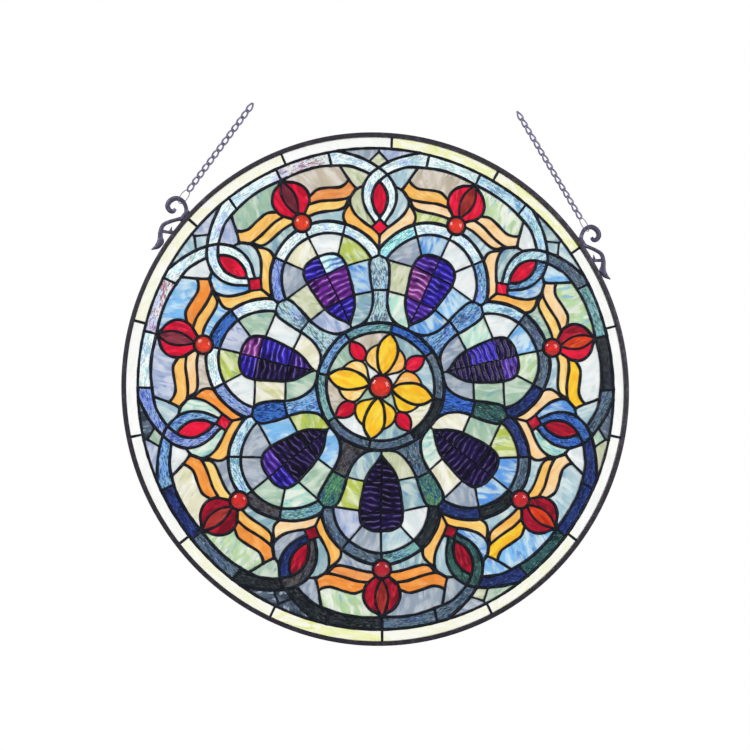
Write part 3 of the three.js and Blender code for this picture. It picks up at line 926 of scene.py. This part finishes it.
# Shader helpers: feed sets or links the inputs of a node, and the others give back an output
def node_of(tree, kind, **attributes):
    node = tree.nodes.new(kind)
    for name, value in attributes.items():
        setattr(node, name, value)
    return node


def feed(tree, node, sources):
    for entry, source in sources.items():
        if isinstance(source, bpy.types.NodeSocket):
            tree.links.new(source, node.inputs[entry])
        else:
            node.inputs[entry].default_value = source


def maths(tree, operation, *sources):
    node = node_of(tree, "ShaderNodeMath", operation=operation)
    feed(tree, node, dict(enumerate(sources)))
    return node.outputs["Value"]


def vector_maths(tree, operation, sources):
    node = node_of(tree, "ShaderNodeVectorMath", operation=operation)
    feed(tree, node, sources)
    return node.outputs["Vector"]


def scaled_colour(tree, colour, factor):
    return vector_maths(tree, "SCALE", {0: colour, "Scale": factor})


def attribute(tree, name, output="Color"):
    return node_of(tree, "ShaderNodeAttribute", attribute_name=name).outputs[output]


def noise_on(tree, vector, scale, detail, roughness, distortion=0.0):
    cloud = tree.nodes.new("ShaderNodeTexNoise")
    feed(tree, cloud, {"Vector": vector, "Scale": scale, "Detail": detail, "Roughness": roughness,
                       "Distortion": distortion})
    return cloud.outputs["Fac"]


# Noise on the sheet's own coordinates, drawn out along the grain by a factor
def sheet_noise(tree, draw, scale, detail, roughness, distortion):
    sheet = node_of(tree, "ShaderNodeUVMap", uv_map="sheet").outputs["UV"]
    drawn = vector_maths(tree, "MULTIPLY", {0: sheet, 1: (1, draw, 1)})
    return noise_on(tree, drawn, scale, detail, roughness, distortion)


def ranged(tree, source, low, high, to_low=0.0, to_high=1.0, interpolation="SMOOTHSTEP"):
    ramp = node_of(tree, "ShaderNodeMapRange", interpolation_type=interpolation)
    feed(tree, ramp, dict(enumerate([source, low, high, to_low, to_high])))
    return ramp.outputs["Result"]


# Mix node sockets: 0 is its factor, 6 and 7 its two colours, and output 2 its colour
def mixed(tree, factor, first, second):
    mix = node_of(tree, "ShaderNodeMix", data_type="RGBA")
    feed(tree, mix, {0: factor, 6: first, 7: second})
    return mix.outputs[2]


COLOUR, VALUE = "NodeSocketColor", "NodeSocketFloat"
WHITE = (1, 1, 1, 1)


def effect_group(name, colours, **values):
    tree = bpy.data.node_groups.new(name, "ShaderNodeTree")
    for label in colours:
        tree.interface.new_socket(label, in_out="INPUT", socket_type=COLOUR).default_value = WHITE
    for label, value in values.items():
        tree.interface.new_socket(label, in_out="INPUT", socket_type=VALUE).default_value = value
    return tree, tree.nodes.new("NodeGroupInput").outputs


def with_results(tree, colour, **values):
    tree.interface.new_socket("Colour", in_out="OUTPUT", socket_type=COLOUR)
    for label in values:
        tree.interface.new_socket(label, in_out="OUTPUT", socket_type=VALUE)
    feed(tree, tree.nodes.new("NodeGroupOutput"), {"Colour": colour, **values})
    return tree


# Soft wisps of two more colours drawn out along the sheet, with faint clouds
def wisp_group():
    tree, entry = effect_group("sheet_wisps", SHEET_COLOURS, Amount=0.6, Shade=0.2)
    flow = sheet_noise(tree, 2.8, 2.9, 3.0, 0.5, 1.4)
    wisps = maths(tree, "MULTIPLY", ranged(tree, flow, 0.4, 0.62), entry["Amount"])
    mingled = mixed(tree, wisps, entry["tint"], entry["streak"])
    veil = sheet_noise(tree, 3.6, 3.6, 3.0, 0.55, 1.8)
    accents = maths(tree, "MULTIPLY", ranged(tree, veil, 0.54, 0.7), entry["Amount"])
    colour = mixed(tree, accents, mingled, entry["accent_and_highlight"])
    cloud = sheet_noise(tree, 1.6, 5.0, 5.0, 0.6, 0.4)
    swing = ranged(tree, cloud, 0.25, 0.75, -0.5, 0.5, "LINEAR")
    shade = maths(tree, "MULTIPLY_ADD", swing, entry["Shade"], 1.0)
    return with_results(tree, scaled_colour(tree, colour, shade), Height=cloud)


# Rippled sheet: painted highlight on each ridge's crest and painted shade at its foot, over the real ripples
# of the pane
def ripple_group():
    tree, entry = effect_group("sheet_ripples", SHEET_COLOURS, Crest=0.8)
    flow = sheet_noise(tree, 1.0, 4.0, 3.0, 0.55, 0.8)
    base = mixed(tree, ranged(tree, flow, 0.42, 0.68), entry["tint"], entry["streak"])
    wave = maths(tree, "SINE", attribute(tree, "ripple", "Fac"))
    # Painted shade and highlight: darker in each trough, brighter on each ridge
    tone = scaled_colour(tree, base, ranged(tree, wave, -1.0, 0.8, 0.35, 1.4, "LINEAR"))
    patch = sheet_noise(tree, 1.0, 9.0, 2.0, 0.5, 0.0)
    # Painted highlight along the crests, broken into patches
    broken_painted_highlight = maths(tree, "MULTIPLY", ranged(tree, wave, 0.8, 0.99), ranged(tree, patch, 0.36, 0.6))
    painted_crest_highlight = maths(tree, "MULTIPLY", broken_painted_highlight, entry["Crest"])
    return with_results(tree, mixed(tree, painted_crest_highlight, tone, entry["accent_and_highlight"]), Height=patch)


# Hammered clear sheet: fine flecks of a darker colour along the grain, patches, a faint play of colours, and
# painted highlight glints
PLAY_OF_COLOURS = [(0.0, (0.74, 0.68, 1.08, 1)), (0.3, (0.72, 0.98, 1.12, 1)), (0.5, WHITE),
                   (0.72, (0.8, 1.06, 0.98, 1)), (1.0, (1.1, 0.92, 0.9, 1))]
PATCH_SHARE = 0.65


def fleck_group():
    tree, entry = effect_group("sheet_flecks", SHEET_COLOURS, Amount=0.8, Glint=0.2)
    fine = sheet_noise(tree, 4.2, 20.0, 3.0, 0.6, 0.8)
    patch = sheet_noise(tree, 2.6, 5.0, 3.0, 0.55, 0.8)
    both = maths(tree, "MULTIPLY_ADD", patch, PATCH_SHARE, fine)
    flecks = maths(tree, "MULTIPLY", ranged(tree, both, 0.79, 0.93), entry["Amount"])
    colour = mixed(tree, flecks, entry["tint"], entry["streak"])
    hue = tree.nodes.new("ShaderNodeValToRGB")
    stops = hue.color_ramp.elements
    stops[0].position, stops[0].color = PLAY_OF_COLOURS[0]
    stops[1].position, stops[1].color = PLAY_OF_COLOURS[-1]
    for position, shade in PLAY_OF_COLOURS[1:-1]:
        stops.new(position).color = shade
    wide = sheet_noise(tree, 1.5, 3.4, 2.0, 0.5, 1.2)
    feed(tree, hue, {"Fac": ranged(tree, wide, 0.28, 0.72, 0.0, 1.0, "LINEAR")})
    tinted = vector_maths(tree, "MULTIPLY", {0: colour, 1: hue.outputs["Color"]})
    # Painted highlight: glints of the accent colour where the fine noise is lowest
    painted_glints = maths(tree, "MULTIPLY", ranged(tree, fine, 0.42, 0.32), entry["Glint"])
    return with_results(tree, mixed(tree, painted_glints, tinted, entry["accent_and_highlight"]), Height=fine)


# Uneven dark metal: two tones, roughness and fine pits
def metal_group():
    tree, entry = effect_group("dark_metal", ["Tone", "Worn"], Scale=220.0, Wear=0.5)
    place = tree.nodes.new("ShaderNodeTexCoord").outputs["Object"]
    cloud = noise_on(tree, place, entry["Scale"], 6.0, 0.6)
    share = maths(tree, "MULTIPLY", ranged(tree, cloud, 0.48, 0.75), entry["Wear"])
    tone = mixed(tree, share, entry["Tone"], entry["Worn"])
    rough = ranged(tree, cloud, 0.0, 1.0, 0.62, 0.3, "LINEAR")
    return with_results(tree, tone, Height=cloud, Roughness=rough)


def new_material(name):
    material = bpy.data.materials.new(name)
    material.use_nodes = True
    tree = material.node_tree
    return material, tree, tree.nodes["Principled BSDF"]


def bumped(tree, height, strength, distance):
    bump = tree.nodes.new("ShaderNodeBump")
    feed(tree, bump, {"Height": height, "Strength": strength, "Distance": distance})
    return bump.outputs["Normal"]


GLASS_IOR = 1.5
GLASS_SHINE = 0.2
GLASS_SHEEN = (0.3, 0.31, 0.34, 1)
GLASS_RELIEF = 0.0008
METALLIC = 0.9
METAL_BUMP = 0.35
METAL_RELIEF = 0.0004


def sheet_glass(name, effect, roughness, transmission, bump, **amounts):
    material, tree, shader = new_material(name)
    surface = node_of(tree, "ShaderNodeGroup", node_tree=effect)
    feed(tree, surface, {colour: attribute(tree, colour) for colour in SHEET_COLOURS} | amounts)
    feed(tree, shader, {
        "Base Color": surface.outputs["Colour"], "Roughness": roughness, "Transmission Weight": transmission,
        "IOR": GLASS_IOR, "Specular IOR Level": GLASS_SHINE, "Specular Tint": GLASS_SHEEN,
        "Normal": bumped(tree, surface.outputs["Height"], bump, GLASS_RELIEF),
    })
    return material


def dark_metal(name, effect, tone, worn, scale, wear):
    material, tree, shader = new_material(name)
    metal = node_of(tree, "ShaderNodeGroup", node_tree=effect)
    feed(tree, metal, {"Tone": (*linear(tone), 1), "Worn": (*linear(worn), 1), "Scale": scale, "Wear": wear})
    feed(tree, shader, {
        "Base Color": metal.outputs["Colour"], "Roughness": metal.outputs["Roughness"], "Metallic": METALLIC,
        "Normal": bumped(tree, metal.outputs["Height"], METAL_BUMP, METAL_RELIEF),
    })
    return material


def jewel_glass():
    material, tree, shader = new_material("jewel_glass")
    place = tree.nodes.new("ShaderNodeTexCoord").outputs["Object"]
    depth = ranged(tree, noise_on(tree, place, 160.0, 3.0, 0.5), 0.3, 0.7, 0.8, 1.15)
    # The tint attribute carries the painted shade at each jewel's edge
    tone = scaled_colour(tree, attribute(tree, "tint"), depth)
    feed(tree, shader, {"Base Color": tone, "Roughness": 0.06, "Transmission Weight": 1, "IOR": GLASS_IOR})
    return material


def all_materials():
    wisps, metal = wisp_group(), metal_group()
    materials = [
        sheet_glass("opal_glass", wisps, 0.5, 0.85, 0.15, Amount=0.95, Shade=0.25),
        sheet_glass("clear_opal", wisps, 0.4, 1.0, 0.1, Amount=0.95, Shade=0.06),
        sheet_glass("streaky_glass", wisps, 0.3, 0.95, 0.15, Amount=0.8, Shade=0.3),
        sheet_glass("ripple_glass", ripple_group(), 0.15, 0.98, 0.5, Crest=0.8),
        sheet_glass("water_glass", fleck_group(), 0.15, 0.98, 0.5, Amount=0.95, Glint=0.7),
        dark_metal("patina", metal, "#1b1e27", "#4a4d5a", 240.0, 0.4),
        dark_metal("black_bronze", metal, "#35323a", "#5f5a64", 180.0, 0.5),
        dark_metal("cast_bronze", metal, "#4a4658", "#8684a4", 150.0, 0.7),
        dark_metal("chain_steel", metal, "#7d7892", "#4b465a", 300.0, 0.6),
        jewel_glass(),
    ]
    return {material.name: material for material in materials}


# Stage: a pale floor well below the hanging panel, and soft white light all round
FLOOR_DROP = 2.0
FLOOR_RADIUS = 3.0
FLOOR_SIDES = 128
FLOOR_COLOUR = (0.88, 0.88, 0.87, 1)
FLOOR_ROUGHNESS = 0.7
FRONT_LIGHT = 0.55
LAMPS = [("key_light", (-1.2, -1.8, 0.9), 1.0, 30), ("fill_light", (1.4, -1.6, 0.2), 0.8, 12)]


# The air behind the panel shines white and the air before it is dimmer; the backdrop itself is white
def soft_world():
    world = bpy.data.worlds.new("soft_white")
    world.use_nodes = True
    tree = world.node_tree
    way = tree.nodes.new("ShaderNodeSeparateXYZ")
    feed(tree, way, {"Vector": tree.nodes.new("ShaderNodeTexCoord").outputs["Generated"]})
    shine = ranged(tree, way.outputs["Y"], -0.5, 0.3, FRONT_LIGHT, 1.0)
    sight = tree.nodes.new("ShaderNodeLightPath").outputs["Is Camera Ray"]
    strength = maths(tree, "MAXIMUM", shine, sight)
    feed(tree, tree.nodes["Background"], {"Color": WHITE, "Strength": strength})
    return world


def stage():
    bpy.ops.mesh.primitive_circle_add(vertices=FLOOR_SIDES, radius=FLOOR_RADIUS, fill_type="NGON",
                                      location=(0, 0, -FLOOR_DROP))
    floor = bpy.context.object
    floor.name = "pale_floor"
    material, tree, shader = new_material("pale_floor")
    feed(tree, shader, {"Base Color": FLOOR_COLOUR, "Roughness": FLOOR_ROUGHNESS})
    floor.data.materials.append(material)
    bpy.context.scene.world = soft_world()
    bpy.context.scene.view_settings.view_transform = "Standard"
    for name, place, size, power in LAMPS:
        light = bpy.data.lights.new(name, "AREA")
        light.size = size
        light.energy = power
        lamp = placed(name, light)
        lamp.location = place
        lamp.rotation_euler = (at(0, 0) - Vector(place)).to_track_quat("-Z", "Y").to_euler()


# Camera of the photograph: focal length in pixels of its frame, turns, and the panel's place before it
FRAME_PIXELS = 750
FOCAL_PIXELS = 1920.85
CAMERA_YAW, CAMERA_PITCH, CAMERA_ROLL = -0.16816, 0.07706, 0.00658
PANEL_FROM_CAMERA = Vector((6.506, -13.860, 2278.28))
SENSOR = 36


def camera():
    yaw = Matrix.Rotation(CAMERA_YAW, 3, "Y")
    pitch = Matrix.Rotation(CAMERA_PITCH, 3, "X")
    roll = Matrix.Rotation(CAMERA_ROLL, 3, "Z")
    view = roll @ pitch @ yaw
    eye = -(view.transposed() @ PANEL_FROM_CAMERA)
    right, up, ahead = (Vector((row[0], row[2], row[1])) for row in view)
    lens = bpy.data.cameras.new("photo_camera")
    lens.sensor_width = SENSOR
    lens.lens = FOCAL_PIXELS / FRAME_PIXELS * SENSOR
    viewer = placed("photo_camera", lens)
    turn = Matrix((right, up, -ahead)).transposed().to_4x4()
    viewer.matrix_world = Matrix.Translation(at(eye.x, eye.y, -eye.z)) @ turn
    bpy.context.scene.camera = viewer


def panel():
    lines = panel_lines()
    points, edges = cross_lines(lines)
    all_glass(cells_between(points, edges))
    lead_lines(lines, points, edges)
    rim()
    for k in range(SECTORS):
        jewel(f"jewel_{k + 1}", turned([JEWEL_CENTRE], flower_turn(k))[0], JEWEL_RADIUS, JEWEL_COLOURS[k])
    jewel("centre_jewel", (0, 0), CENTRE_JEWEL_RADIUS, CENTRE_JEWEL_COLOUR)
    for side_name in SIDES:
        hook(side_name)
        chain(side_name)


bpy.ops.object.select_all(action="DESELECT")
MATERIALS = all_materials()
panel()
stage()
camera()
